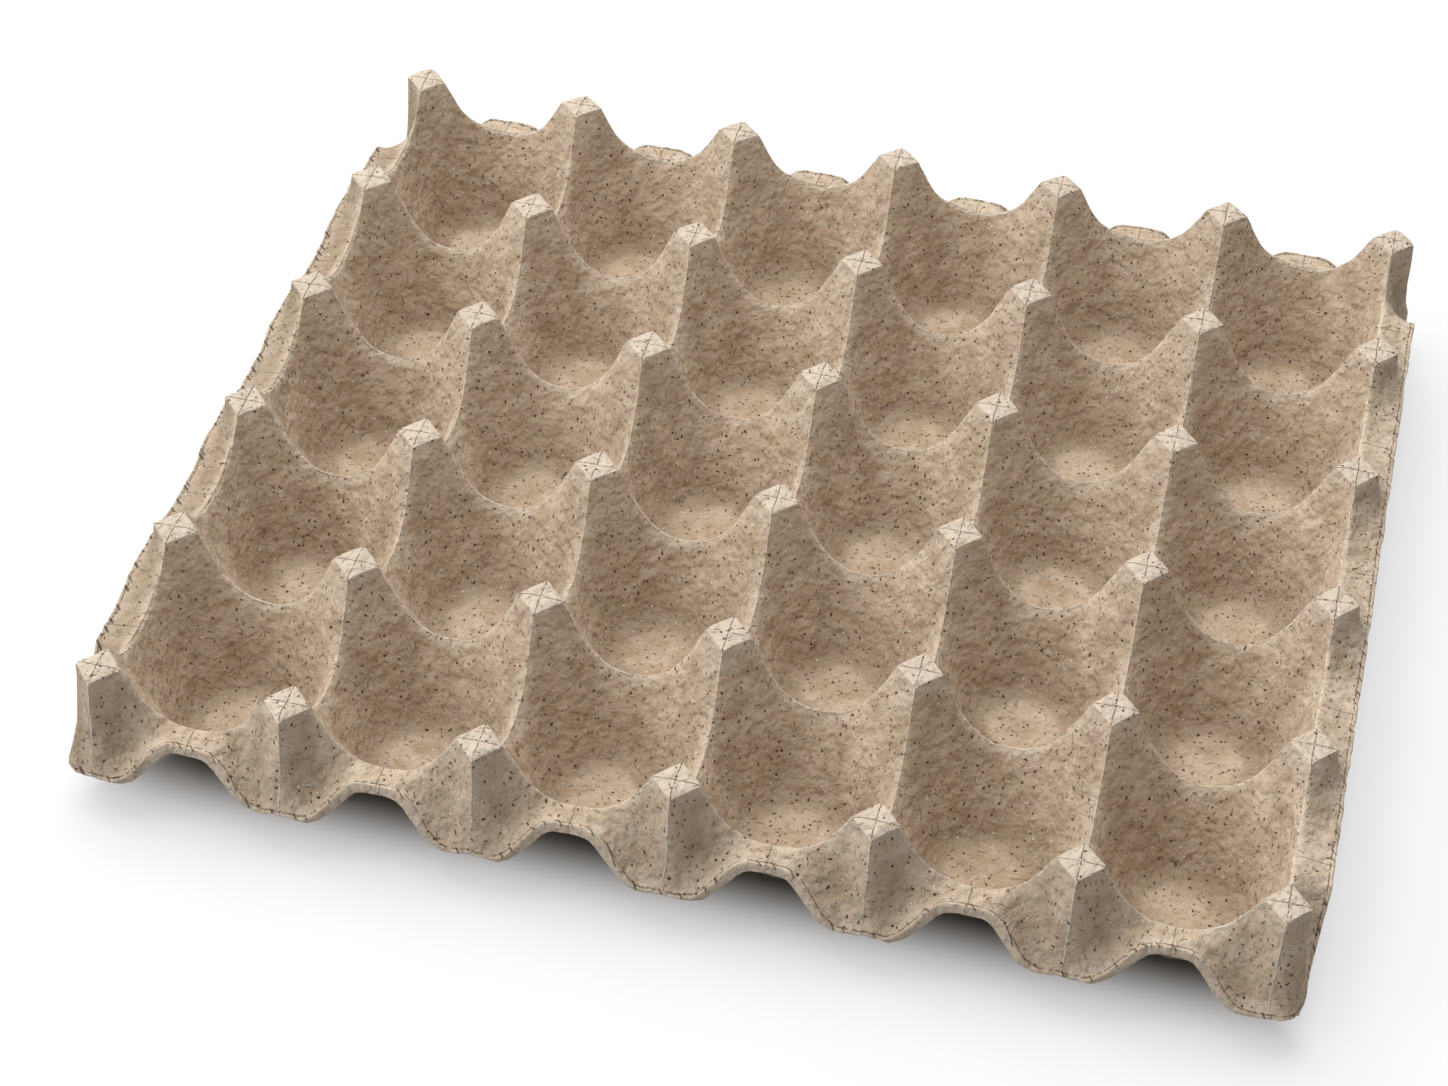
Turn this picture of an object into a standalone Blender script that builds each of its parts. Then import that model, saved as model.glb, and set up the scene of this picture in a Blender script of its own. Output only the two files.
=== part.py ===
"""Pulp egg tray: one moulded sheet with five rows of six cups.

Run with: blender --background --python part.py
Units are metres and +Z is up. X runs along the rows of six cups, Y along the rows of five, and the
origin lies under the middle of the tray, on the surface that it stands on.

The upper face is one net of points. Every cup takes a block of 8 by 8 facets, whose square rings turn
into circles towards the cup's bottom, and three more rows of facets make the skirt outside the posts.
The Solidify modifier then gives the net its wall.
"""

import math

import bmesh
import bpy

MM = 0.001

# Layout of the tray
CUPS_X = 6
CUPS_Y = 5
PITCH_X = 47.0 * MM
PITCH_Y = 51.0 * MM
HEIGHT = 40.0 * MM
WALL = 2.0 * MM

# Posts: the flat top is a diamond with its corners along X and Y
TOP_HALF_X = 6.1 * MM
TOP_HALF_Y = 6.6 * MM

# Ridges run from post to post and are lowest half way, at the saddle. The ridges of the rim sink
# less, and least along the two sides, where the tray is lifted
SADDLE_HEIGHT = 21.0 * MM
FRONT_SADDLE_HEIGHT = 25.4 * MM
SIDE_SADDLE_HEIGHT = 29.0 * MM
RIDGE_POWER = 2.5

# Cups: a round flat bottom inside a bowl that opens to the ridges
BOTTOM_RADIUS = 12.0 * MM
BOWL_POWER = 1.2

# Skirt outside the outermost posts. Front and back have a lip below each post and an arch between
# two posts. The two sides are cut high all along, and have lips at the corner posts only
LIP_REACH_X = 8.5 * MM
LIP_REACH_Y = 11.5 * MM
SIDE_REACH = 9.5 * MM
ARCH_REACH_Y = 7.0 * MM
LIP_HEIGHT = 12.5 * MM
FRONT_ARCH_HEIGHT = 24.8 * MM
SIDE_ARCH_HEIGHT = 27.5 * MM
SIDE_POST_HEIGHT = 30.5 * MM
LIP_HALF_WIDTH = 5.5 * MM
ARCH_HALF_WIDTH = 5.0 * MM
FLANK_POWER = 1.8
CORNER_FLANK_POWER = 1.4
CORNER_POWER = 3.0

# Net of facets, as shares of the way from a post's top to the saddle, from the cup's centre to the
# edge of its bottom, up its bowl, and from the posts to the skirt's edge
RIDGE_SHARES = (0.0, 0.30, 0.64, 1.0)
BOTTOM_RING_SHARES = (0.0, 0.55, 1.0)
BOWL_RING_SHARE = 0.52
SKIRT_SHARES = (0.0, 0.35, 0.70, 1.0)

PULP_COLOUR = (0.45, 0.40, 0.33, 1.0)
PULP_ROUGHNESS = 0.95

HALF_CELL = len(RIDGE_SHARES)
SKIRT_ROWS = len(SKIRT_SHARES) - 1
BOTTOM_RINGS = len(BOTTOM_RING_SHARES) - 1


def clear_scene():
    """Remove every object of the open scene."""
    for old in list(bpy.data.objects):
        bpy.data.objects.remove(old, do_unlink=True)


def smooth_step(share):
    """Rise from 0 to 1 with level ends."""
    share = min(max(share, 0.0), 1.0)
    return share * share * (3.0 - 2.0 * share)


def between(start, end, share):
    """Value at a share of the way from start to end."""
    return start + (end - start) * share


def station(index, pitch, top_half):
    """Distance from a post at which a ridge has its point of this index, the post itself being 0."""
    if index == 0:
        return 0.0
    return between(top_half, pitch / 2.0, RIDGE_SHARES[index - 1])


def ridge_height(distance, pitch, top_half, saddle):
    """Height of a ridge: level on the post's top, then a fall that eases out at the saddle."""
    left = (pitch / 2.0 - distance) / (pitch / 2.0 - top_half)
    left = min(max(left, 0.0), 1.0)
    return between(saddle, HEIGHT, left ** RIDGE_POWER)


def top_edge(centre_x, centre_y, across_x, across_y):
    """Distance along a ray at which it meets the nearest edge of a post's top.

    The post's centre lies centre_x and centre_y away from the ray's start, and the edge is the line
    through the two corners of the top that face the start. With no distance, the start is the post.
    """
    reach = centre_x / TOP_HALF_X + centre_y / TOP_HALF_Y - 1.0
    return abs(reach) / (across_x / TOP_HALF_X + across_y / TOP_HALF_Y)


def cup_border(angle, front_on_rim, side_on_rim):
    """Radius and height at which a ray from a cup's centre meets the ridges or a post's top."""
    half_x = PITCH_X / 2.0
    half_y = PITCH_Y / 2.0
    across_x = abs(math.cos(angle))
    across_y = abs(math.sin(angle))
    if across_x * half_y >= across_y * half_x:
        radius = half_x / across_x
        from_post = half_y - radius * across_y
        saddle = SIDE_SADDLE_HEIGHT if side_on_rim else SADDLE_HEIGHT
        height = ridge_height(from_post, PITCH_Y, TOP_HALF_Y, saddle)
    else:
        radius = half_y / across_y
        from_post = half_x - radius * across_x
        saddle = FRONT_SADDLE_HEIGHT if front_on_rim else SADDLE_HEIGHT
        height = ridge_height(from_post, PITCH_X, TOP_HALF_X, saddle)
    top_radius = top_edge(half_x, half_y, across_x, across_y)
    if top_radius < radius:
        return top_radius, HEIGHT
    return radius, height


def ring_angle(step_x, step_y):
    """Direction of a point of a square ring, with the ring's points spread evenly round a circle."""
    ring = max(abs(step_x), abs(step_y))
    eighth = math.pi / 4.0
    if abs(step_x) == ring:
        angle = eighth * step_y / ring
        return angle if step_x > 0 else math.pi - angle
    angle = 2.0 * eighth - eighth * step_x / ring
    return angle if step_y > 0 else -angle


def cup_point(step_x, step_y, front_on_rim, side_on_rim):
    """Point inside a cup, from the middle of the cup."""
    ring = max(abs(step_x), abs(step_y))
    if ring == 0:
        return 0.0, 0.0, WALL
    angle = ring_angle(step_x, step_y)
    radius = BOTTOM_RADIUS
    height = WALL
    if ring <= BOTTOM_RINGS:
        radius *= BOTTOM_RING_SHARES[ring]
    else:
        border_radius, border_height = cup_border(angle, front_on_rim, side_on_rim)
        radius = between(radius, border_radius, BOWL_RING_SHARE)
        height = between(height, border_height, BOWL_RING_SHARE ** BOWL_POWER)
    return radius * math.cos(angle), radius * math.sin(angle), height


def flank(start, end, share, power):
    """Reach and height on the skirt's outer face, which is hollow where the power is above 1."""
    fall = 1.0 - (1.0 - share) ** power
    return between(start[0], end[0], share), between(start[1], end[1], fall)


def skirt_point(distance, row, pitch, top_half, top_out, saddle, lip, arch):
    """Reach and height of a point of the skirt, at a distance along the rim from the nearest post.

    The lip and the arch are each given by their reach and height.
    """
    wave_length = pitch / 2.0 - ARCH_HALF_WIDTH - LIP_HALF_WIDTH
    wave = smooth_step((distance - LIP_HALF_WIDTH) / wave_length)
    edge = (between(lip[0], arch[0], wave), between(lip[1], arch[1], wave))
    if distance == 0.0:
        return flank((top_out, HEIGHT), edge, (row - 1) / (SKIRT_ROWS - 1), FLANK_POWER)
    start = (0.0, ridge_height(distance, pitch, top_half, saddle))
    return flank(start, edge, SKIRT_SHARES[row], FLANK_POWER)


def corner_point(row_x, row_y):
    """Point of the skirt round a corner post, from the middle of the post.

    The outer face is as hollow as its neighbours at both ends of the turn, and less so half way.
    """
    angle = ring_angle(row_x, row_y)
    across_x = math.cos(angle)
    across_y = math.sin(angle)
    bulge = (across_x / LIP_REACH_X) ** CORNER_POWER + (across_y / LIP_REACH_Y) ** CORNER_POWER
    start = (top_edge(0.0, 0.0, across_x, across_y), HEIGHT)
    edge = (bulge ** (-1.0 / CORNER_POWER), LIP_HEIGHT)
    power = between(FLANK_POWER, CORNER_FLANK_POWER, (2.0 * across_x * across_y) ** 2)
    radius, height = flank(start, edge, SKIRT_SHARES[max(row_x, row_y)], power)
    return radius * across_x, radius * across_y, height


def net_lines(cups, pitch, top_half):
    """Lines of the net in one direction, from the skirt's one edge to the other.

    Each is a dictionary: the middle of its cup, its step from that middle, its place, its distance
    from the nearest post, its row in the skirt, and whether the nearest ridge is the tray's rim.
    """
    lines = []
    last = cups * 2 * HALF_CELL
    for index in range(-SKIRT_ROWS, last + SKIRT_ROWS + 1):
        inside = min(max(index, 0), last)
        cup = min(inside // (2 * HALF_CELL), cups - 1)
        step = inside - cup * 2 * HALF_CELL - HALF_CELL
        middle = (cup - (cups - 1) / 2.0) * pitch
        distance = station(HALF_CELL - abs(step), pitch, top_half)
        lines.append({
            "middle": middle,
            "step": step,
            "place": middle + math.copysign(pitch / 2.0 - distance, step),
            "distance": distance,
            "row": index - inside,
            "on_rim": cup == (0 if step < 0 else cups - 1),
        })
    return lines


def net_point(line_x, line_y):
    """Place of the point where two lines of the net cross."""
    x, y = line_x["place"], line_y["place"]
    row_x, row_y = line_x["row"], line_y["row"]
    if row_x and row_y:
        reach_x, reach_y, z = corner_point(abs(row_x), abs(row_y))
        return x + math.copysign(reach_x, row_x), y + math.copysign(reach_y, row_y), z
    if row_y:
        lip = (LIP_REACH_Y, LIP_HEIGHT)
        arch = (ARCH_REACH_Y, FRONT_ARCH_HEIGHT)
        sizes = (PITCH_X, TOP_HALF_X, TOP_HALF_Y, FRONT_SADDLE_HEIGHT, lip, arch)
        reach, z = skirt_point(line_x["distance"], abs(row_y), *sizes)
        return x, y + math.copysign(reach, row_y), z
    if row_x:
        lip = (LIP_REACH_X, LIP_HEIGHT) if line_y["on_rim"] else (SIDE_REACH, SIDE_POST_HEIGHT)
        arch = (SIDE_REACH, SIDE_ARCH_HEIGHT)
        sizes = (PITCH_Y, TOP_HALF_Y, TOP_HALF_X, SIDE_SADDLE_HEIGHT, lip, arch)
        reach, z = skirt_point(line_y["distance"], abs(row_x), *sizes)
        return x + math.copysign(reach, row_x), y, z
    if abs(line_y["step"]) == HALF_CELL:
        saddle = FRONT_SADDLE_HEIGHT if line_y["on_rim"] else SADDLE_HEIGHT
        return x, y, ridge_height(line_x["distance"], PITCH_X, TOP_HALF_X, saddle)
    if abs(line_x["step"]) == HALF_CELL:
        saddle = SIDE_SADDLE_HEIGHT if line_x["on_rim"] else SADDLE_HEIGHT
        return x, y, ridge_height(line_y["distance"], PITCH_Y, TOP_HALF_Y, saddle)
    reach_x, reach_y, z = cup_point(line_x["step"], line_y["step"], line_y["on_rim"], line_x["on_rim"])
    return line_x["middle"] + reach_x, line_y["middle"] + reach_y, z


def beyond_post(low, high):
    """Say whether the strip between two lines lies on the far side of its nearest post."""
    if low["row"] < 0:
        return False
    return high["row"] > 0 or low["step"] < 0


def make_net(name):
    """Mesh of the upper face, cut into triangles whose long edges go round the posts."""
    lines_x = net_lines(CUPS_X, PITCH_X, TOP_HALF_X)
    lines_y = net_lines(CUPS_Y, PITCH_Y, TOP_HALF_Y)
    bm = bmesh.new()
    grid = [[bm.verts.new(net_point(line_x, line_y)) for line_y in lines_y] for line_x in lines_x]
    for i in range(len(lines_x) - 1):
        for j in range(len(lines_y) - 1):
            a, b = grid[i][j], grid[i + 1][j]
            c, d = grid[i + 1][j + 1], grid[i][j + 1]
            far_x = beyond_post(lines_x[i], lines_x[i + 1])
            far_y = beyond_post(lines_y[j], lines_y[j + 1])
            if far_x == far_y:
                bm.faces.new((a, b, d))
                bm.faces.new((b, c, d))
            else:
                bm.faces.new((a, b, c))
                bm.faces.new((a, c, d))
    mesh = bpy.data.meshes.new(name)
    bm.to_mesh(mesh)
    bm.free()
    return mesh


def make_pulp():
    """Material of the whole tray: dull grey-brown paper pulp."""
    pulp = bpy.data.materials.new("moulded_pulp")
    pulp.use_nodes = True
    shader = pulp.node_tree.nodes["Principled BSDF"]
    shader.inputs["Base Color"].default_value = PULP_COLOUR
    shader.inputs["Roughness"].default_value = PULP_ROUGHNESS
    shader.inputs["Metallic"].default_value = 0.0
    return pulp


def make_tray():
    """The tray: the net with its wall added below it."""
    mesh = make_net("egg_tray")
    mesh.materials.append(make_pulp())
    tray = bpy.data.objects.new("egg_tray", mesh)
    bpy.context.scene.collection.objects.link(tray)
    wall = tray.modifiers.new("wall", "SOLIDIFY")
    wall.thickness = WALL
    wall.offset = -1.0
    wall.use_even_offset = True
    wall.use_quality_normals = True
    return tray


clear_scene()
make_tray()
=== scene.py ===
"""A pulp egg tray on a white studio table.

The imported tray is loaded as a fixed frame. The fine tray below takes the place of its plain solid, with
rounded arrises, a lumpy skin, a worn cut edge and the speckled finish of recycled paper pulp.
"""

import math

import bpy
import numpy as np
from mathutils import Matrix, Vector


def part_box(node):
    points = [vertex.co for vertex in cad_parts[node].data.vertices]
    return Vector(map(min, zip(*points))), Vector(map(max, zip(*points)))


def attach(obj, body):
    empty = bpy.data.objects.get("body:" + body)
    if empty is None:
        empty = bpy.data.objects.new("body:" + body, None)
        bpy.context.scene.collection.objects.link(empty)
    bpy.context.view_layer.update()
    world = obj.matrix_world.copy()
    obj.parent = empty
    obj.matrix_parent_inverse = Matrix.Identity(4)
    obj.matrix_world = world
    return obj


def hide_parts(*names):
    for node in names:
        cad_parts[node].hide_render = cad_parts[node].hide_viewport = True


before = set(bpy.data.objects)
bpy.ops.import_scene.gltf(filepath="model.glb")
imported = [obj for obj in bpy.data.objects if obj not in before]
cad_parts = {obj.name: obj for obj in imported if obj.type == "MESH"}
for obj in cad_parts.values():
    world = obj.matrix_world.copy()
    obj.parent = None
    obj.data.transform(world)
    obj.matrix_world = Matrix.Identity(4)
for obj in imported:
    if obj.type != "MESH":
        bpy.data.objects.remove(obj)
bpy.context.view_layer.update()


# The tray's form: one sheet of paper pulp, sucked out of water onto a wire mould and dried. It has 30
# cups between 42 posts. The posts' flat tops are diamonds, and ridges run from post to post and sink
# to a saddle half way. Outside the outermost posts hangs a trimmed skirt. Its edge is wavy in front
# and at the back, and on the two sides it is cut high all along, between lips at the corner posts.
MM = 0.001
TRAY_LOW, TRAY_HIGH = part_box("egg_tray")
HEIGHT = TRAY_HIGH[2] - TRAY_LOW[2]
CUPS_X = 6
CUPS_Y = 5
PITCH_X = 47.0 * MM
PITCH_Y = 51.0 * MM
WALL = 2.0 * MM
TOP_HALF_X = 6.1 * MM
TOP_HALF_Y = 6.6 * MM
SADDLE_HEIGHT = 21.0 * MM
FRONT_SADDLE_HEIGHT = 25.4 * MM
SIDE_SADDLE_HEIGHT = 29.0 * MM
RIDGE_POWER = 2.5
BOTTOM_RADIUS = 12.0 * MM
BOWL_POWER = 1.2
EDGE_BULGE = 0.25 * MM
EDGE_ARRIS = 0.12
LIP_REACH_X = 8.3 * MM
LIP_REACH_Y = TRAY_HIGH[1] - CUPS_Y / 2 * PITCH_Y - EDGE_BULGE
SIDE_REACH = TRAY_HIGH[0] - CUPS_X / 2 * PITCH_X - EDGE_BULGE
ARCH_REACH_Y = 6.8 * MM
LIP_HEIGHT = 12.7 * MM
FRONT_ARCH_HEIGHT = 25.0 * MM
SIDE_ARCH_HEIGHT = 27.7 * MM
SIDE_POST_HEIGHT = 30.7 * MM
LIP_HALF_WIDTH = 5.5 * MM
ARCH_HALF_WIDTH = 5.0 * MM
FLANK_POWER = 1.8
CORNER_FLANK_POWER = 1.4
CORNER_POWER = 3.0

# Facets of the fine net: across half a post's top, across half a cell, up to the edge of a cup's
# round bottom, up to where its rings have turned square, and from the outermost posts to the cut edge
TOP_FACETS = 6
HALF_CELL = 22
BOTTOM_FACETS = 11
ROUND_FACETS = 18
SKIRT_FACETS = 16


def smooth_step(share):
    """0 below 0, 1 above 1, and three times the square less twice the cube of the share between."""
    share = np.clip(share, 0.0, 1.0)
    return share * share * (3.0 - 2.0 * share)


def net_lines(cups, pitch, top_half):
    """Lines of the net in one direction, as arrays over the line's index.

    The distance from the nearest post grows evenly over the post's top and then evenly again up to
    half a pitch. The row counts lines outwards from the outermost posts, and is 0 inside them.
    """
    last = cups * 2 * HALF_CELL
    index = np.arange(-SKIRT_FACETS, last + SKIRT_FACETS + 1)
    inside = np.clip(index, 0, last)
    cup = np.minimum(inside // (2 * HALF_CELL), cups - 1)
    step = inside - cup * 2 * HALF_CELL - HALF_CELL
    from_post = HALF_CELL - np.abs(step)
    beyond = np.maximum(from_post - TOP_FACETS, 0) / (HALF_CELL - TOP_FACETS)
    distance = np.minimum(from_post / TOP_FACETS, 1.0) * top_half + beyond * (pitch / 2 - top_half)
    middle = (cup - (cups - 1) / 2) * pitch
    return {
        "step": step,
        "middle": middle,
        "distance": distance,
        "place": middle + np.sign(step) * (pitch / 2 - distance),
        "row": index - inside,
        "on_rim": np.where(step < 0, cup == 0, cup == cups - 1),
    }


def ridge_height(distance, pitch, top_half, saddle):
    """The saddle's height, plus the rise to the top times a power of the way left to the saddle."""
    left = np.clip((pitch / 2 - distance) / (pitch / 2 - top_half), 0.0, 1.0)
    return saddle + (HEIGHT - saddle) * left ** RIDGE_POWER


def cup_height(x, y, front_on_rim, side_on_rim):
    """Height at a place that is measured from the middle of its cup.

    A ray from the middle leaves the round bottom, climbs as a power of the way, and ends where it
    meets the ridge across it or the straight edge of a post's top, whichever comes first.
    """
    radius = np.maximum(np.hypot(x, y), 1e-9)
    across_x = np.abs(x) / radius
    across_y = np.abs(y) / radius
    half_x = PITCH_X / 2
    half_y = PITCH_Y / 2
    to_side = half_x / np.maximum(across_x, 1e-9)
    to_front = half_y / np.maximum(across_y, 1e-9)
    side_saddle = np.where(side_on_rim, SIDE_SADDLE_HEIGHT, SADDLE_HEIGHT)
    front_saddle = np.where(front_on_rim, FRONT_SADDLE_HEIGHT, SADDLE_HEIGHT)
    side = ridge_height(half_y - to_side * across_y, PITCH_Y, TOP_HALF_Y, side_saddle)
    front = ridge_height(half_x - to_front * across_x, PITCH_X, TOP_HALF_X, front_saddle)
    border = np.minimum(to_side, to_front)
    height = np.where(to_side <= to_front, side, front)
    to_top = half_x / TOP_HALF_X + half_y / TOP_HALF_Y - 1.0
    to_top = to_top / (across_x / TOP_HALF_X + across_y / TOP_HALF_Y)
    height = np.where(to_top < border, HEIGHT, height)
    border = np.minimum(border, to_top)
    climb = np.clip((radius - BOTTOM_RADIUS) / (border - BOTTOM_RADIUS), 0.0, 1.0)
    return WALL + (height - WALL) * climb ** BOWL_POWER


def cup_plan(step_x, step_y, square_x, square_y):
    """Place of a point from the middle of its cup, seen from above.

    The rings of the net are circles up to the edge of the bottom, with their points spread evenly,
    and turn into the cell's own square rings by a smooth step further out.
    """
    ring = np.maximum(np.abs(step_x), np.abs(step_y))
    steps = np.maximum(ring, 1)
    flat = np.abs(step_x) >= np.abs(step_y)
    turn = math.pi / 4 * np.where(flat, step_y, step_x) / steps
    along = np.cos(turn) * np.where(flat, np.sign(step_x), np.sign(step_y))
    aside = np.sin(turn)
    radius = BOTTOM_RADIUS * ring / BOTTOM_FACETS
    circle_x = radius * np.where(flat, along, aside)
    circle_y = radius * np.where(flat, aside, along)
    square = smooth_step((ring - BOTTOM_FACETS) / (ROUND_FACETS - BOTTOM_FACETS))
    return circle_x + (square_x - circle_x) * square, circle_y + (square_y - circle_y) * square


def skirt_face(row, distance, pitch, top_half, top_out, saddle, lip, arch):
    """Reach and height on the skirt, whose rows start at the rim's ridge or at the post's top.

    The lip and the arch are each given by the cut edge's reach and height, which run level along
    both and change between them by a smooth step. The outer half of a post's top fills the rows
    inside the diagonal of its own block of the net. From there the reach grows evenly, and the fall
    is 1 less a power of the way left.
    """
    wave_length = pitch / 2 - ARCH_HALF_WIDTH - LIP_HALF_WIDTH
    wave = smooth_step((distance - LIP_HALF_WIDTH) / wave_length)
    edge_reach = lip[0] + (arch[0] - lip[0]) * wave
    edge_height = lip[1] + (arch[1] - lip[1]) * wave
    top_rows = np.maximum(TOP_FACETS * (1.0 - distance / top_half), 0.0)
    start_reach = top_out * top_rows / TOP_FACETS
    start_height = ridge_height(distance, pitch, top_half, saddle)
    out = np.clip((row - top_rows) / (SKIRT_FACETS - top_rows), 0.0, 1.0)
    fall = 1.0 - (1.0 - out) ** FLANK_POWER
    reach = np.minimum(row / TOP_FACETS * top_out, start_reach) + (edge_reach - start_reach) * out
    return reach, start_height + (edge_height - start_height) * fall


def corner_face(row_x, row_y):
    """Reach along X and Y, and height, on the skirt's quarter turn round a corner post.

    Straight rays leave the post. Each runs level to the top's edge and then falls to a lip whose
    plan is a superellipse, as hollow as the flanks at both ends of the turn and less so half way.
    """
    rim_x = row_x * TOP_HALF_X
    rim_y = row_y * TOP_HALF_Y
    length = np.maximum(np.hypot(rim_x, rim_y), 1e-9)
    across_x = rim_x / length
    across_y = rim_y / length
    top_radius = 1.0 / (across_x / TOP_HALF_X + across_y / TOP_HALF_Y + 1e-9)
    bulge = (across_x / LIP_REACH_X) ** CORNER_POWER + (across_y / LIP_REACH_Y) ** CORNER_POWER
    lip_radius = (bulge + 1e-9) ** (-1.0 / CORNER_POWER)
    outmost = np.maximum(np.maximum(row_x, row_y), 1)
    total = np.maximum(row_x + row_y, 1)
    share = outmost / SKIRT_FACETS
    top_share = TOP_FACETS / total * share
    out = np.clip((share - top_share) / (1.0 - top_share), 0.0, 1.0)
    half_way = (2.0 * across_x * across_y) ** 2
    fall = 1.0 - (1.0 - out) ** (FLANK_POWER + (CORNER_FLANK_POWER - FLANK_POWER) * half_way)
    level = np.minimum(total / TOP_FACETS, 1.0) * top_radius
    radius = np.where(total <= TOP_FACETS, level, top_radius + (lip_radius - top_radius) * out)
    return radius * across_x, radius * across_y, HEIGHT + (LIP_HEIGHT - HEIGHT) * fall


def upper_face():
    """Points of the sheet's upper face, as an array over both line indices and X, Y and Z."""
    lines_x = net_lines(CUPS_X, PITCH_X, TOP_HALF_X)
    lines_y = net_lines(CUPS_Y, PITCH_Y, TOP_HALF_Y)
    across = {name: values[:, None] for name, values in lines_x.items()}
    along = {name: values[None, :] for name, values in lines_y.items()}
    row_x = np.abs(across["row"])
    row_y = np.abs(along["row"])

    square_x = across["place"] - across["middle"]
    square_y = along["place"] - along["middle"]
    cup_x, cup_y = cup_plan(across["step"], along["step"], square_x, square_y)
    cup_z = cup_height(cup_x, cup_y, along["on_rim"], across["on_rim"])

    front_reach, front_z = skirt_face(
        row_y, across["distance"], PITCH_X, TOP_HALF_X, TOP_HALF_Y, FRONT_SADDLE_HEIGHT,
        (LIP_REACH_Y, LIP_HEIGHT), (ARCH_REACH_Y, FRONT_ARCH_HEIGHT))
    side_lip = (np.where(along["on_rim"], LIP_REACH_X, SIDE_REACH),
                np.where(along["on_rim"], LIP_HEIGHT, SIDE_POST_HEIGHT))
    side_reach, side_z = skirt_face(
        row_x, along["distance"], PITCH_Y, TOP_HALF_Y, TOP_HALF_X, SIDE_SADDLE_HEIGHT,
        side_lip, (SIDE_REACH, SIDE_ARCH_HEIGHT))
    corner_x, corner_y, corner_z = corner_face(row_x, row_y)

    beside = (row_x > 0) & (row_y == 0)
    before = (row_x == 0) & (row_y > 0)
    corner = (row_x > 0) & (row_y > 0)
    where = [corner, before, beside]
    reach_x = np.select(where, [corner_x, 0.0 * front_reach, side_reach + 0.0 * row_y], 0.0)
    reach_y = np.select(where, [corner_y, front_reach, 0.0 * side_reach], 0.0)
    outside = corner | before | beside
    x = np.where(outside, across["place"] + np.sign(across["row"]) * reach_x, across["middle"] + cup_x)
    y = np.where(outside, along["place"] + np.sign(along["row"]) * reach_y, along["middle"] + cup_y)
    z = np.select(where, [corner_z, front_z, side_z], cup_z)
    return np.stack(np.broadcast_arrays(x, y, z), axis=-1)


def soften(net, passes, share=1.0):
    """Round the arrises: each pass takes a half of a point and a quarter of each neighbour's place.

    The pass runs along one index and then the other, and keeps the first and last points. The share
    says how far each point goes from its old place to the new one.
    """
    soft = net.copy()
    for _ in range(passes):
        for axis in (0, 1):
            swapped = np.swapaxes(soft, 0, axis)
            inner = swapped[1:-1] / 2 + (swapped[:-2] + swapped[2:]) / 4
            swapped[1:-1] = inner
    return net + (soft - net) * share


def away_from_tops():
    """A small share at the posts' tops, 1 from about their own width away, a smooth step between."""
    steps = []
    for cups, pitch, top_half in ((CUPS_X, PITCH_X, TOP_HALF_X), (CUPS_Y, PITCH_Y, TOP_HALF_Y)):
        lines = net_lines(cups, pitch, top_half)
        steps.append(HALF_CELL - np.abs(lines["step"]) + np.abs(lines["row"]))
    widths = (steps[0][:, None] + steps[1][None, :]) / TOP_FACETS
    away = smooth_step((widths - CRISP_WIDTHS[0]) / (CRISP_WIDTHS[1] - CRISP_WIDTHS[0]))
    return (CRISP_SHARE + (1.0 - CRISP_SHARE) * away)[..., None]


def face_normals(net):
    """Unit normals of a net: the cross product of its two directions' central differences."""
    normals = np.cross(np.gradient(net, axis=0), np.gradient(net, axis=1))
    return normals / np.linalg.norm(normals, axis=-1, keepdims=True)


def cloud(points, grain, seed):
    """Smooth noise from 0 to 1 with lumps of one size, read from random values on a cubic grid.

    Between the grid's corners the values are blended by a smooth step along X, Y and Z.
    """
    place = (points - points.reshape(-1, 3).min(axis=0)) / grain
    cell = np.floor(place).astype(int)
    shape = cell.reshape(-1, 3).max(axis=0) + 2
    values = np.random.default_rng(seed).random(shape)
    share = smooth_step(place - cell)
    total = np.zeros(points.shape[:-1])
    for corner in np.ndindex(2, 2, 2):
        weight = np.prod(np.where(np.array(corner), share, 1.0 - share), axis=-1)
        at = cell + np.array(corner)
        total += weight * values[at[..., 0], at[..., 1], at[..., 2]]
    return total


# The sheet itself: 2 mm of felted fibre. The mould's arrises come out rounded, the skin is lumpy from
# the flocks of fibre, the trimmed edge is a little ragged, and the wire side below is softer still.
ARRIS_PASSES = 2
CRISP_WIDTHS = (1.1, 2.0)
CRISP_SHARE = 0.4
CRISP_ANGLE = 38.0
UNDER_PASSES = 10
CREST_PASSES = 14
LUMPS = ((7.0 * MM, 0.40 * MM), (3.0 * MM, 0.26 * MM))
SWELL = 0.7 * MM
SWELL_WIDTH = 5.0 * MM
RAGGED_GRAIN = 1.6 * MM
RAGGED_DEPTH = 0.45 * MM
UNDER_STEP = 2

# On the skirt the ridge below a post fades out on its way to the lip. It is softened in full between
# the two middle rows of these four, and not at all outside the first and the last
FADE_PASSES = 7
FADE_ROWS = (6, 11, 13, 16)


def edge_loop(net):
    """The net's outermost points, once round, anticlockwise as seen from above."""
    return np.concatenate([net[:-1, 0], net[-1, :-1], net[:0:-1, -1], net[0, :0:-1]])


def net_triangles(index, far_x, far_y):
    """Triangles of a net of vertex numbers, cut so that long edges go round the posts.

    A facet is cut from its low corner to its high one where it lies beyond its nearest post in just
    one of the two directions, and the other way elsewhere.
    """
    a, b = index[:-1, :-1].ravel(), index[1:, :-1].ravel()
    c, d = index[1:, 1:].ravel(), index[:-1, 1:].ravel()
    around = (far_x[:, None] == far_y[None, :]).ravel()
    first = np.where(around[:, None], np.stack([a, b, d], 1), np.stack([a, b, c], 1))
    second = np.where(around[:, None], np.stack([b, c, d], 1), np.stack([a, c, d], 1))
    return np.concatenate([first, second])


def beyond_post(cups, pitch, top_half, step):
    """For each strip between two lines, whether it lies on the far side of its nearest post."""
    lines = net_lines(cups, pitch, top_half)
    low, high = lines["row"][:-step:step], lines["row"][step::step]
    return (low >= 0) & ((high > 0) | (lines["step"][:-step:step] < 0))


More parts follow.
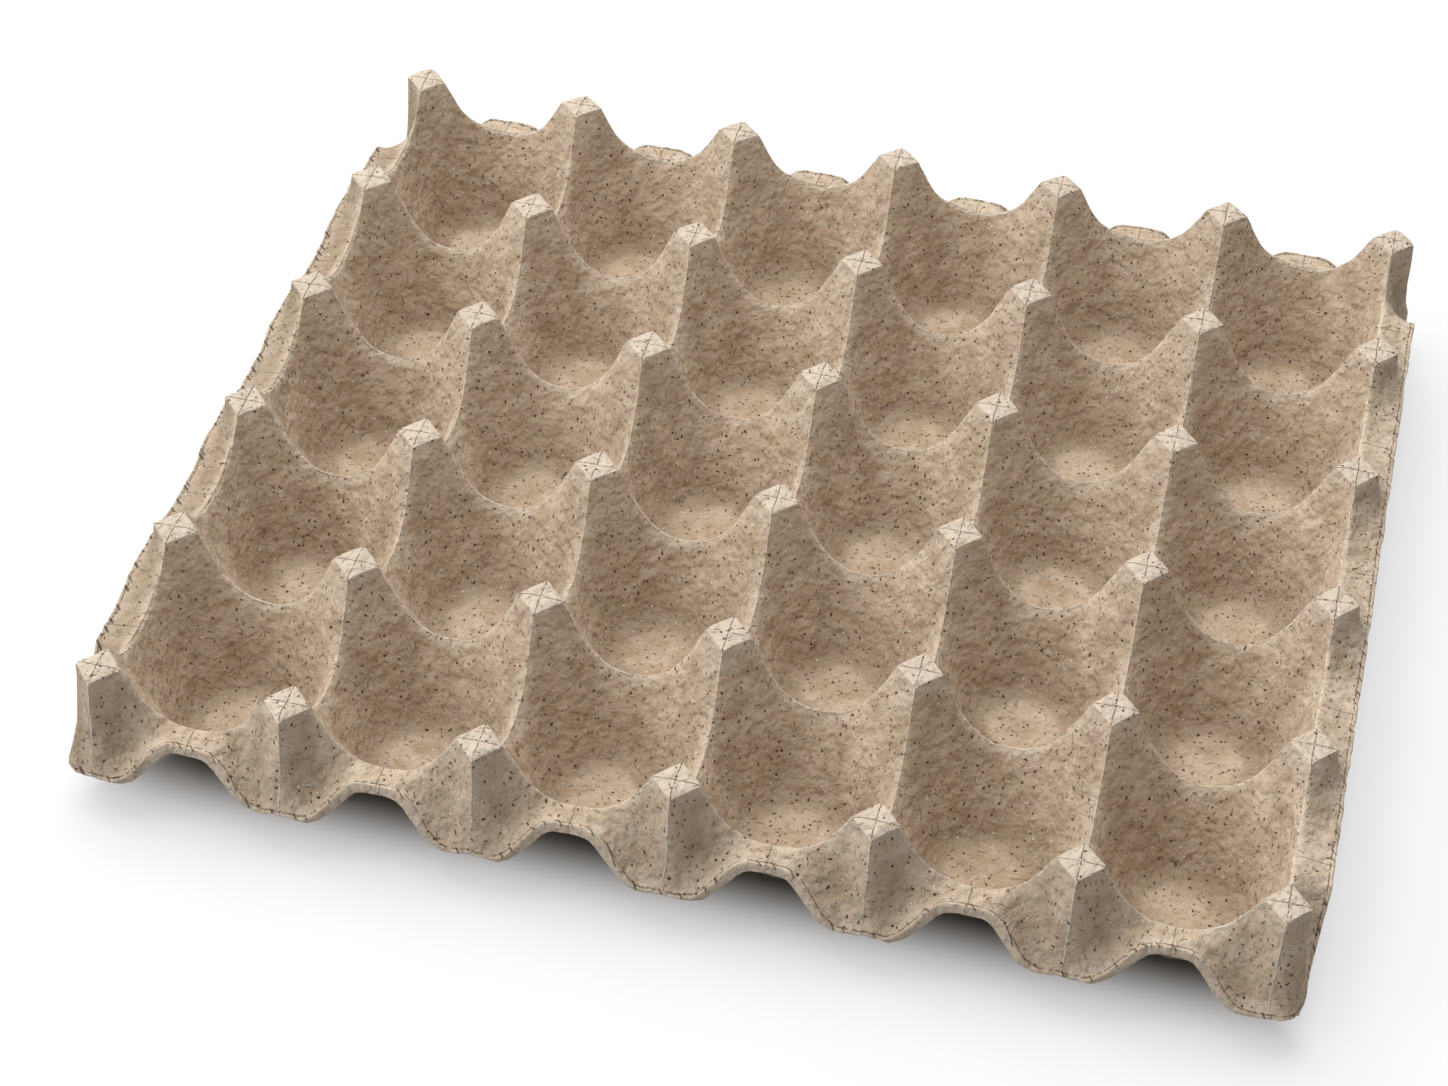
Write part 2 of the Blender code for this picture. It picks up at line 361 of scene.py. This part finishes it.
net = soften(upper_face(), ARRIS_PASSES, away_from_tops())
rows_x = np.abs(net_lines(CUPS_X, PITCH_X, TOP_HALF_X)["row"])
rows_y = np.abs(net_lines(CUPS_Y, PITCH_Y, TOP_HALF_Y)["row"])
rows = np.maximum(rows_x[:, None], rows_y[None, :])
fade_in, fade_full, fade_back, fade_out = FADE_ROWS
faded = smooth_step((rows - fade_in) / (fade_full - fade_in))
faded *= smooth_step((fade_out - rows) / (fade_out - fade_back))
net = soften(net, FADE_PASSES, faded[..., None])
normals = face_normals(net)
sunk = np.zeros(net.shape[:-1])
for number, (grain, depth) in enumerate(LUMPS):
    sunk += depth * cloud(net, grain, number + 1)
net = net - normals * sunk[..., None]

# Trimmed edge: the outermost points draw back along the sheet by up to the ragged depth
inward = np.zeros_like(net)
inward[0], inward[-1] = net[1] - net[0], net[-2] - net[-1]
inward[1:-1, 0], inward[1:-1, -1] = net[1:-1, 1] - net[1:-1, 0], net[1:-1, -2] - net[1:-1, -1]
inward /= np.maximum(np.linalg.norm(inward, axis=-1, keepdims=True), 1e-9)
ragged = RAGGED_DEPTH * cloud(net, RAGGED_GRAIN, 5) ** 2
net = net + inward * ragged[..., None]

# Way of each point along the sheet from the cut edge, by the nearest of the four sides
ways = []
for axis in (0, 1):
    lengths = np.linalg.norm(np.diff(net, axis=axis), axis=-1)
    start = np.zeros_like(np.take(net[..., 0], [0], axis=axis))
    way = np.concatenate([start, np.cumsum(lengths, axis=axis)], axis=axis)
    ways += [way, np.take(way, [-1], axis=axis) - way]
way_in = np.minimum.reduce(ways)

# Underside: one wall below the upper face, along normals that are evened out so that it never folds.
# Towards the cut edge the pulp is looser and the wall swells.
thickness = WALL + SWELL * (1.0 - smooth_step(way_in / SWELL_WIDTH))
normals = face_normals(net)
even = soften(normals, UNDER_PASSES)
even /= np.linalg.norm(even, axis=-1, keepdims=True)
facing = np.maximum((even * normals).sum(axis=-1, keepdims=True), 0.5)
under = net - even * (thickness[..., None] / facing)
under[..., 2] = np.maximum(under[..., 2], 0.0)
under = under[::UNDER_STEP, ::UNDER_STEP]

# Cut edge: a flat face across the sheet, with an arris rounded off along each side of it
upper_loop = edge_loop(net)
outward = -edge_loop(inward)
lower_loop = edge_loop(under)
lower_fine = (lower_loop + np.roll(lower_loop, -1, axis=0)) / 2
lower_fine = np.stack([lower_loop, lower_fine], 1).reshape(-1, 3)
through = lower_fine - upper_loop
upper_arris = upper_loop + outward * EDGE_BULGE + through * EDGE_ARRIS
lower_arris = lower_fine + outward * EDGE_BULGE - through * EDGE_ARRIS

upper_index = np.arange(net.shape[0] * net.shape[1]).reshape(net.shape[:2])
under_index = np.arange(under.shape[0] * under.shape[1]).reshape(under.shape[:2]) + upper_index.size
loop_index = np.arange(len(upper_loop)) + upper_index.size + under_index.size
upper_rim = edge_loop(upper_index[..., None])[:, 0]
under_rim = edge_loop(under_index[..., None])[:, 0]
rims = [upper_rim, loop_index, loop_index + len(loop_index)]
bands = [np.concatenate([np.stack([rim, below, np.roll(rim, -1)], 1),
                         np.stack([np.roll(rim, -1), below, np.roll(below, -1)], 1)])
         for rim, below in zip(rims[:-1], rims[1:])]
at, half_way, after = rims[2][::2], rims[2][1::2], np.roll(rims[2], -1)[1::2]
under_next = np.roll(under_rim, -1)
sizes_x = (CUPS_X, PITCH_X, TOP_HALF_X)
sizes_y = (CUPS_Y, PITCH_Y, TOP_HALF_Y)
upper_far = beyond_post(*sizes_x, 1), beyond_post(*sizes_y, 1)
under_far = beyond_post(*sizes_x, UNDER_STEP), beyond_post(*sizes_y, UNDER_STEP)
triangles = np.concatenate([
    net_triangles(upper_index, *upper_far),
    net_triangles(under_index, *under_far)[:, ::-1],
    *bands,
    np.stack([at, under_rim, half_way], 1),
    np.stack([half_way, under_rim, under_next], 1),
    np.stack([half_way, under_next, after], 1),
])
points = np.concatenate([net.reshape(-1, 3), under.reshape(-1, 3), upper_arris, lower_arris])

# The trimming knife leaves nothing outside the tray's own size
points = np.clip(points, list(TRAY_LOW), list(TRAY_HIGH))
print("tray triangles:", len(triangles))

# What the finish needs to know of each point, in millimetres: how far it stands out from the evened
# face round it, and its way from the cut edge, which is below 0 on the cut face and the underside
crest = ((net - soften(net, CREST_PASSES)) * normals).sum(axis=-1) / MM
through_wall = np.full(len(upper_loop), (WALL + SWELL) / MM)
under_way = -through_wall[0] - way_in[::UNDER_STEP, ::UNDER_STEP] / MM
marks = {
    "crest": np.concatenate([crest.ravel(), -crest[::UNDER_STEP, ::UNDER_STEP].ravel(),
                             0.0 * through_wall, 0.0 * through_wall]),
    "from_edge": np.concatenate([way_in.ravel() / MM, under_way.ravel(),
                                 -EDGE_ARRIS * through_wall, (EDGE_ARRIS - 1.0) * through_wall]),
}

mesh = bpy.data.meshes.new("tray")
mesh.vertices.add(len(points))
mesh.vertices.foreach_set("co", points.ravel())
mesh.loops.add(triangles.size)
mesh.loops.foreach_set("vertex_index", triangles.ravel())
mesh.polygons.add(len(triangles))
mesh.polygons.foreach_set("loop_start", np.arange(0, triangles.size, 3))
mesh.update(calc_edges=True)
mesh.validate()
for name, values in marks.items():
    mesh.attributes.new(name, "FLOAT", "POINT").data.foreach_set("value", values.astype(np.float32))
mesh.shade_smooth()
mesh.set_sharp_from_angle(angle=math.radians(CRISP_ANGLE))

tray = bpy.data.objects.new("tray", mesh)
bpy.context.scene.collection.objects.link(tray)
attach(tray, "root")
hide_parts("egg_tray")


# Raw moulded pulp: grey-brown recycled paper, dull, with clouds of paler and browner fibre, short curled
# fibres that stand in the skin, dark flecks of print and bark, and pale flecks of unbeaten paper. The
# wire mould's seams run through the rows of posts and leave a crease on the tops, a bead on the flanks.
PULP_PALE = "#d6c2ab"
PULP_BROWN = "#b0977b"
CREST_PALE = "#dac9b5"
# Paler tops: partly wear, partly a painted highlight
TOP_WEAR_AND_HIGHLIGHT = "#dbcdbc"
# Painted shade: the colour of the browned hollows and of the browned left skirt
PAINTED_SHADE_BROWN = "#96826b"
DARK_FLECK = "#4f3a28"
BROWN_FLECK = "#86603d"
PALE_FLECK = "#f3ebdd"
PALE_FIBRE = "#eee2cf"
DARK_FIBRE = "#7d674f"
PULP_ROUGHNESS = 0.94
PULP_GLOSS = 0.25

# Sizes of the pulp's pattern, in millimetres. Real fibres are about a tenth as wide as these, and are
# drawn coarser so that they show, as are the hairlines left by the mould
CLOUD = 8.0
BLOTCH = 3.2
DENT = 3.4
PIT = 1.4
GRAIN = 0.45
WARP_GRAIN = 3.0
WARP_DEPTH = 1.5
FIBRE_CELL = 2.1
FIBRE_HALF_LENGTH = 0.70
FIBRE_HALF_WIDTH = 0.17
FLECK_CELL = 2.6
FLECK_HALF_LENGTH = 0.40
FLECK_HALF_WIDTH = 0.27
SEAM_SWAY = 0.5
SEAM_SWAY_GRAIN = 4.0
CREASE_HALF_WIDTH = 0.22
BEAD_HALF_WIDTH = 0.42
DASH_LENGTH = 1.1
EDGE_LINE = 0.75
EDGE_LINE_HALF_WIDTH = 0.28
TICK_SPACING = 3.6
TICK_HALF_WIDTH = 0.30
TICK_MIDDLE = 0.3


def linear(hex_colour):
    """Linear red, green, blue and alpha of an sRGB hex colour, by the sRGB standard's curve."""
    channels = [int(hex_colour[at:at + 2], 16) / 255 for at in (1, 3, 5)]
    return [c / 12.92 if c <= 0.04045 else ((c + 0.055) / 1.055) ** 2.4 for c in channels] + [1.0]


def add_node(tree, kind, *inputs, output=None, **settings):
    """Add a node, set its properties, and link or set its inputs in order, with None for one left out.

    Only the sockets that the settings leave in use count. The output named is given back, or else
    the first one.
    """
    node = tree.nodes.new("ShaderNode" + kind)
    for name, value in settings.items():
        setattr(node, name, value)
    for socket, value in zip([socket for socket in node.inputs if socket.enabled], inputs):
        if isinstance(value, bpy.types.NodeSocket):
            tree.links.new(value, socket)
        elif value is not None:
            socket.default_value = value
    if output:
        return node.outputs[output]
    return next((socket for socket in node.outputs if socket.enabled), None)


# With this setting a Map Range node is 0 at its first limit and 1 at its second, by a smooth step
SMOOTH = {"interpolation_type": "SMOOTHSTEP"}


def strokes(tree, place, face, cell, half_length, half_width):
    """Short strokes that lie in the skin, one to a cell of a pattern, and the chance of each cell.

    A point's way from the middle of its cell is measured along the cell's own direction in the
    skin, which is the cross product of the skin's normal and the cell's random colour, and aside
    from it. The first value is 1 on a stroke and 0 between them, the second runs from 0 to 1.
    """
    cells = add_node(tree, "TexVoronoi", place, 1.0 / cell).node.outputs
    way = add_node(tree, "VectorMath", place, cells["Position"], operation="SUBTRACT")
    heading = add_node(tree, "VectorMath", cells["Color"], (0.5, 0.5, 0.5), operation="SUBTRACT")
    across = add_node(tree, "VectorMath", face, heading, operation="CROSS_PRODUCT")
    along = add_node(tree, "VectorMath", across, operation="NORMALIZE")
    aside = add_node(tree, "VectorMath", face, along, operation="CROSS_PRODUCT")
    shares = []
    for direction, half in ((along, half_length), (aside, half_width)):
        part = add_node(tree, "VectorMath", way, direction, operation="DOT_PRODUCT")
        part = add_node(tree, "Math", part, operation="ABSOLUTE")
        shares.append(add_node(tree, "MapRange", part, half, 0.5 * half, **SMOOTH))
    chance = add_node(tree, "SeparateColor", cells["Color"], output="Blue")
    return add_node(tree, "Math", *shares, operation="MULTIPLY"), chance


pulp = bpy.data.materials.new("moulded_paper_pulp")
pulp.use_nodes = True
tree = pulp.node_tree
shader = tree.nodes["Principled BSDF"]
tray.data.materials.append(pulp)

# Places in millimetres, plain and stirred, and the sheet's own marks
place = add_node(tree, "TexCoord", output="Object")
place = add_node(tree, "VectorMath", place, 1.0 / MM, operation="SCALE")
axes = add_node(tree, "SeparateXYZ", place).node.outputs
stir = add_node(tree, "TexNoise", place, 1.0 / WARP_GRAIN, 0.0, output="Color")
warped = add_node(tree, "VectorMath", stir, [WARP_DEPTH] * 3, place, operation="MULTIPLY_ADD")
face = add_node(tree, "NewGeometry", output="Normal")
crest = add_node(tree, "Attribute", output="Fac", attribute_name="crest")
from_edge = add_node(tree, "Attribute", output="Fac", attribute_name="from_edge")

# Clouds and blotches of browner fibre
cloudy = add_node(tree, "TexNoise", place, 1.0 / CLOUD, 2.0)
cloudy = add_node(tree, "MapRange", cloudy, 0.32, 0.68, **SMOOTH)
blotchy = add_node(tree, "TexNoise", place, 1.0 / BLOTCH, 2.0)
blotchy = add_node(tree, "MapRange", blotchy, 0.38, 0.70, **SMOOTH)
brown = add_node(tree, "Math", cloudy, 0.50, operation="MULTIPLY")
brown = add_node(tree, "Math", blotchy, 0.30, brown, operation="MULTIPLY_ADD")
colour = add_node(tree, "Mix", brown, linear(PULP_PALE), linear(PULP_BROWN), data_type="RGBA")

# Painted shade: hollows are browner away from the cut edge. Crests and tops are paler, partly from wear and
# partly as a painted highlight, and a paler band runs by the cut edge. The skirt along the left side is
# browner, as painted shade
way = add_node(tree, "Math", from_edge, operation="ABSOLUTE")
inside = add_node(tree, "MapRange", way, 1.0, 9.0, **SMOOTH)
# Painted shade in the hollows: concave places away from the cut edge are browner
hollow = add_node(tree, "MapRange", crest, 0.05, -0.9, **SMOOTH)
hollow = add_node(tree, "Math", hollow, inside, operation="MULTIPLY")
# Paler crests and tops: partly wear, partly a painted highlight
arris = add_node(tree, "MapRange", crest, 0.1, 0.8, **SMOOTH)
on_top = add_node(tree, "Math", axes["Z"], HEIGHT / MM - 1.0, operation="GREATER_THAN")
# Painted shade: the skirt along the left side is browner. The same mask makes the nicks on the left wider
# and longer
out_left = add_node(tree, "Math", -CUPS_X * PITCH_X / 2 / MM, axes["X"], operation="SUBTRACT")
left_skirt = add_node(tree, "MapRange", out_left, 0.0, 4.0, **SMOOTH)
left_skirt = add_node(tree, "Math", left_skirt, on_top, operation="SUBTRACT", use_clamp=True)
by_edge = add_node(tree, "MapRange", from_edge, 4.5, 0.5, **SMOOTH)

# Uneven skin, in lumps of three sizes
dents = add_node(tree, "TexNoise", place, 1.0 / DENT, 1.0)
pits = add_node(tree, "TexNoise", place, 1.0 / PIT, 1.0)
grainy = add_node(tree, "TexNoise", place, 1.0 / GRAIN, 2.0)

# Layers of the finish from the first to the last: where it lies, its colour, the share of that colour,
# and how far it stands out of the skin in millimetres
layers = [
    # painted shade in the hollows
    (hollow, PAINTED_SHADE_BROWN, 0.50, 0.0),
    # paler crests and tops: partly wear, partly painted highlight
    (arris, CREST_PALE, 0.40, 0.0),
    (on_top, TOP_WEAR_AND_HIGHLIGHT, 0.50, 0.0),
    # painted shade on the left skirt
    (left_skirt, PAINTED_SHADE_BROWN, 0.60, 0.0),
    (by_edge, CREST_PALE, 0.35, 0.0),
    (dents, None, 0.0, 1.5),
    (pits, None, 0.0, 0.5),
    (grainy, None, 0.0, 0.1),
]

# Fibres and flecks: size of a cell and of the stroke in it, then the kinds that the cell's chance picks
# from, each as the chance that it ends at and the rest of its layer
for cell, half_length, half_width, kinds in (
        (FIBRE_CELL, FIBRE_HALF_LENGTH, FIBRE_HALF_WIDTH,
         ((0.44, PALE_FIBRE, 0.62, 0.46), (0.64, DARK_FIBRE, 0.50, -0.38))),
        (FLECK_CELL, FLECK_HALF_LENGTH, FLECK_HALF_WIDTH,
         ((0.18, PALE_FLECK, 0.95, 0.30), (0.30, BROWN_FLECK, 0.85, -0.22),
          (0.50, DARK_FLECK, 0.97, -0.34)))):
    mark, chance = strokes(tree, warped, face, cell, half_length, half_width)
    start = 0.0
    for end, hex_colour, strength, rise in kinds:
        picked = add_node(tree, "Math", chance, (start + end) / 2, (end - start) / 2, operation="COMPARE")
        picked = add_node(tree, "Math", mark, picked, operation="MULTIPLY")
        layers.append((picked, hex_colour, strength, rise))
        start = end

# Seams of the mould, in the planes of the rows of posts and, outside the rim, half way between them
sway = add_node(tree, "TexNoise", place, 1.0 / SEAM_SWAY_GRAIN, 0.0)
sway = add_node(tree, "Math", sway, SEAM_SWAY, -SEAM_SWAY / 2, operation="MULTIPLY_ADD")
seams = []
for axis, other, pitch, cups, other_pitch, other_cups in (
        ("X", "Y", PITCH_X / MM, CUPS_X, PITCH_Y / MM, CUPS_Y),
        ("Y", "X", PITCH_Y / MM, CUPS_Y, PITCH_X / MM, CUPS_X)):
    level = add_node(tree, "Math", axes[axis], sway, operation="ADD")
    level = add_node(tree, "Math", level, cups % 2 * pitch / 2, operation="ADD")
    at_posts = add_node(tree, "Math", level, pitch / 2, operation="PINGPONG")
    half_way = add_node(tree, "Math", pitch / 2, at_posts, operation="SUBTRACT")
    inside = add_node(tree, "Math", axes[other], operation="ABSOLUTE")
    inside = add_node(tree, "Math", inside, other_cups * other_pitch / 2 + 0.5, operation="LESS_THAN")
    half_way = add_node(tree, "Math", inside, pitch, half_way, operation="MULTIPLY_ADD")
    seams.append((at_posts, half_way))
at_posts, half_way = (add_node(tree, "Math", *pair, operation="MINIMUM") for pair in zip(*seams))
broken = add_node(tree, "TexNoise", place, 1.0 / DASH_LENGTH, 1.0)
broken = add_node(tree, "MapRange", broken, 0.36, 0.52, **SMOOTH)
crease = add_node(tree, "MapRange", at_posts, CREASE_HALF_WIDTH, 0.0, **SMOOTH)
crease = add_node(tree, "Math", crease, on_top, operation="MULTIPLY")
strength = add_node(tree, "Math", broken, 0.4, operation="ADD")
crease = add_node(tree, "Math", crease, strength, operation="MULTIPLY")
half_way = add_node(tree, "MapRange", half_way, CREASE_HALF_WIDTH, 0.0, **SMOOTH)
crease = add_node(tree, "Math", crease, half_way, operation="MAXIMUM")
bead = add_node(tree, "MapRange", at_posts, BEAD_HALF_WIDTH, 0.0, **SMOOTH)
bead = add_node(tree, "Math", bead, on_top, operation="SUBTRACT", use_clamp=True)
strength = add_node(tree, "Math", broken, 0.2, operation="ADD")
bead = add_node(tree, "Math", bead, strength, operation="MULTIPLY")
layers += [(crease, DARK_FIBRE, 0.7, -0.14), (bead, PALE_FIBRE, 0.6, 0.14)]

# The cut edge: pale torn fibre on the cut face, with a broken dark line along its upper arris
torn = add_node(tree, "MapRange", from_edge, 0.2, -0.1, **SMOOTH)
above = add_node(tree, "MapRange", from_edge, -3.4, -2.8, **SMOOTH)
torn = add_node(tree, "Math", torn, above, operation="MULTIPLY")
line = add_node(tree, "Math", from_edge, EDGE_LINE, operation="SUBTRACT")
line = add_node(tree, "Math", line, operation="ABSOLUTE")
line = add_node(tree, "MapRange", line, EDGE_LINE_HALF_WIDTH, 0.0, **SMOOTH)
dashes = add_node(tree, "Math", line, broken, operation="MULTIPLY")

# Nicks across the cut edge, one to a cell of a row of them. On the left they are wider and longer, and
# fewer cells go without
along = add_node(tree, "Math", axes["X"], axes["Y"], operation="ADD")
ticks = add_node(tree, "TexVoronoi", along, 1.0 / TICK_SPACING, voronoi_dimensions="1D").node.outputs
chance = add_node(tree, "SeparateColor", ticks["Color"], output="Red")
chance = add_node(tree, "Math", left_skirt, 0.25, chance, operation="MULTIPLY_ADD")
chance = add_node(tree, "MapRange", chance, 0.35, 0.5, **SMOOTH)
nicks = add_node(tree, "Math", left_skirt, -0.05, ticks["Distance"], operation="MULTIPLY_ADD")
nicks = add_node(tree, "MapRange", nicks, TICK_HALF_WIDTH / TICK_SPACING,
                 0.3 * TICK_HALF_WIDTH / TICK_SPACING, **SMOOTH)
nicks = add_node(tree, "Math", nicks, chance, operation="MULTIPLY")
near = add_node(tree, "Math", from_edge, TICK_MIDDLE, operation="SUBTRACT")
near = add_node(tree, "Math", near, operation="ABSOLUTE")
near = add_node(tree, "Math", left_skirt, -0.6, near, operation="MULTIPLY_ADD")
near = add_node(tree, "MapRange", near, 1.0, 0.6, **SMOOTH)
nicks = add_node(tree, "Math", nicks, near, operation="MULTIPLY")
layers += [(torn, CREST_PALE, 0.6, 0.0), (dashes, DARK_FLECK, 0.75, -0.18), (nicks, DARK_FLECK, 0.8, -0.2)]

height = 0.0
for mask, hex_colour, strength, rise in layers:
    if hex_colour:
        share = add_node(tree, "Math", mask, strength, operation="MULTIPLY")
        colour = add_node(tree, "Mix", share, colour, linear(hex_colour), data_type="RGBA")
    if rise:
        height = add_node(tree, "Math", mask, rise, height, operation="MULTIPLY_ADD")
level = add_node(tree, "MapRange", grainy, 0.25, 0.75, 0.84, 1.12)
colour = add_node(tree, "VectorMath", colour, level, operation="SCALE")
relief = add_node(tree, "Bump", 1.0, MM, None, height)
tree.links.new(colour, shader.inputs["Base Color"])
tree.links.new(relief, shader.inputs["Normal"])
shader.inputs["Roughness"].default_value = PULP_ROUGHNESS
shader.inputs["Specular IOR Level"].default_value = PULP_GLOSS


# The table: a seamless white sheet, bright enough to burn out to white around the tray's soft shadow.
# Under the tray it is painted dark, a painted shadow for where the posts' hollows keep the light out, and it
# throws back less light than the camera sees, so that the undersides stay as dim as they are on a real
# table.
TABLE_HALF = 3.0
TABLE_WHITE = "#f6f6f8"
TABLE_GREY = "#b8b8b8"
# Painted shadow: the sheet's colour under the tray
TABLE_SHADE = "#4f4a45"
SHADE_ENDS = (-18.0 * MM, 5.0 * MM)

# The glow is painted light, seen by the camera only, that lightens the tray's shadow further from the tray.
# Each part of the glow starts and ends at a distance from the field of posts, and adds its share
GLOWS = ((-12.0 * MM, 14.0 * MM, 0.60), (14.0 * MM, 100.0 * MM, 0.30), (70.0 * MM, 350.0 * MM, 0.10))

table_mesh = bpy.data.meshes.new("table")
corners = [(-1, -1), (1, -1), (1, 1), (-1, 1)]
table_mesh.from_pydata([(x * TABLE_HALF, y * TABLE_HALF, 0.0) for x, y in corners], [], [(0, 1, 2, 3)])
table = bpy.data.objects.new("table", table_mesh)
bpy.context.scene.collection.objects.link(table)

paper = bpy.data.materials.new("white_backdrop_paper")
paper.use_nodes = True
table_mesh.materials.append(paper)
tree = paper.node_tree
shader = tree.nodes["Principled BSDF"]
ray = add_node(tree, "LightPath", output="Is Camera Ray")
place = add_node(tree, "TexCoord", output="Object")
place = add_node(tree, "VectorMath", place, operation="ABSOLUTE")
field = (CUPS_X / 2 * PITCH_X, CUPS_Y / 2 * PITCH_Y, 0.0)
beyond = add_node(tree, "VectorMath", place, field, operation="SUBTRACT")
beyond = add_node(tree, "SeparateXYZ", beyond).node.outputs
beyond = add_node(tree, "Math", beyond["X"], beyond["Y"], operation="MAXIMUM")
# Painted shadow: the sheet darkens towards the field of posts and under it
shade = add_node(tree, "MapRange", beyond, *SHADE_ENDS, **SMOOTH)
white = add_node(tree, "Mix", shade, linear(TABLE_SHADE), linear(TABLE_WHITE), data_type="RGBA")
# Painted light: a glow seen by the camera, growing away from the tray
glow = 0.0
for start, end, share in GLOWS:
    ring = add_node(tree, "MapRange", beyond, start, end, **SMOOTH)
    glow = add_node(tree, "Math", ring, share, glow, operation="MULTIPLY_ADD")
white = add_node(tree, "Mix", glow, white, (0.0, 0.0, 0.0, 1.0), data_type="RGBA")
white = add_node(tree, "Mix", ray, linear(TABLE_GREY), white, data_type="RGBA")
tree.links.new(white, shader.inputs["Base Color"])
tree.links.new(add_node(tree, "Math", ray, glow, operation="MULTIPLY"), shader.inputs["Emission Strength"])
shader.inputs["Emission Color"].default_value = (1.0, 1.0, 1.0, 1.0)
shader.inputs["Roughness"].default_value = 1.0
shader.inputs["Specular IOR Level"].default_value = 0.0


# Studio light: one broad soft box overhead, a little behind the tray and to its left, and a weak one
# low at the front on the left, in a pale room that the camera sees as white.
ROOM_LIGHT = 0.30
ROOM_SEEN = 1.0
world = bpy.data.worlds.new("studio")
bpy.context.scene.world = world
world.use_nodes = True
tree = world.node_tree
tree.nodes.clear()
ray = add_node(tree, "LightPath", output="Is Camera Ray")
room = [add_node(tree, "Background", (1.0, 1.0, 1.0, 1.0), strength) for strength in (ROOM_LIGHT, ROOM_SEEN)]
add_node(tree, "OutputWorld", add_node(tree, "MixShader", ray, *room))


def soft_box(name, place, size, watts):
    """A square area light at a place, turned to face the tray's origin.

    It looks straight down before it is turned. It then leans by the angle between the way down and
    the way to the origin, and turns about the upright by the heading of that way.
    """
    light = bpy.data.lights.new(name, "AREA")
    light.size = size
    light.energy = watts
    lamp = bpy.data.objects.new(name, light)
    bpy.context.scene.collection.objects.link(lamp)
    x, y, z = place
    lamp.location = place
    lamp.rotation_euler = (math.atan2(math.hypot(x, y), z), 0.0, math.atan2(-x, y) + math.pi)


soft_box("key_soft_box", (-0.42, 0.58, 1.45), 1.9, 32.5)
soft_box("side_soft_box", (-1.35, -0.80, 0.60), 1.0, 10.0)


# Camera: fitted to the post tops, the lips and the arches of the photograph, in the tray's own frame.
# It stands in front and a little to the right, looks down at the near half of the tray, and leans.
CAMERA_AZIMUTH = 12.30
CAMERA_ELEVATION = 42.03
CAMERA_LEAN = 2.31
CAMERA_AIM = (-8.69 * MM, -46.05 * MM, 40.0 * MM)
CAMERA_DISTANCE = 815.3 * MM
CAMERA_LENS = 81.92

azimuth, elevation, lean = (math.radians(angle) for angle in (CAMERA_AZIMUTH, CAMERA_ELEVATION, CAMERA_LEAN))
back = np.array([math.sin(azimuth) * math.cos(elevation), -math.cos(azimuth) * math.cos(elevation),
                 math.sin(elevation)])
level = np.array([math.cos(azimuth), math.sin(azimuth), 0.0])
up = np.cross(back, level)
right = math.cos(lean) * level + math.sin(lean) * up
up = np.cross(back, right)
lens = bpy.data.cameras.new("camera")
lens.lens = CAMERA_LENS
lens.sensor_width = 36.0
camera = bpy.data.objects.new("camera", lens)
bpy.context.scene.collection.objects.link(camera)
pose = np.eye(4)
pose[:3, 0], pose[:3, 1], pose[:3, 2] = right, up, back
pose[:3, 3] = np.array(CAMERA_AIM) + back * CAMERA_DISTANCE
camera.matrix_world = Matrix(pose.tolist())
bpy.context.scene.camera = camera
bpy.context.scene.view_settings.view_transform = "Standard"
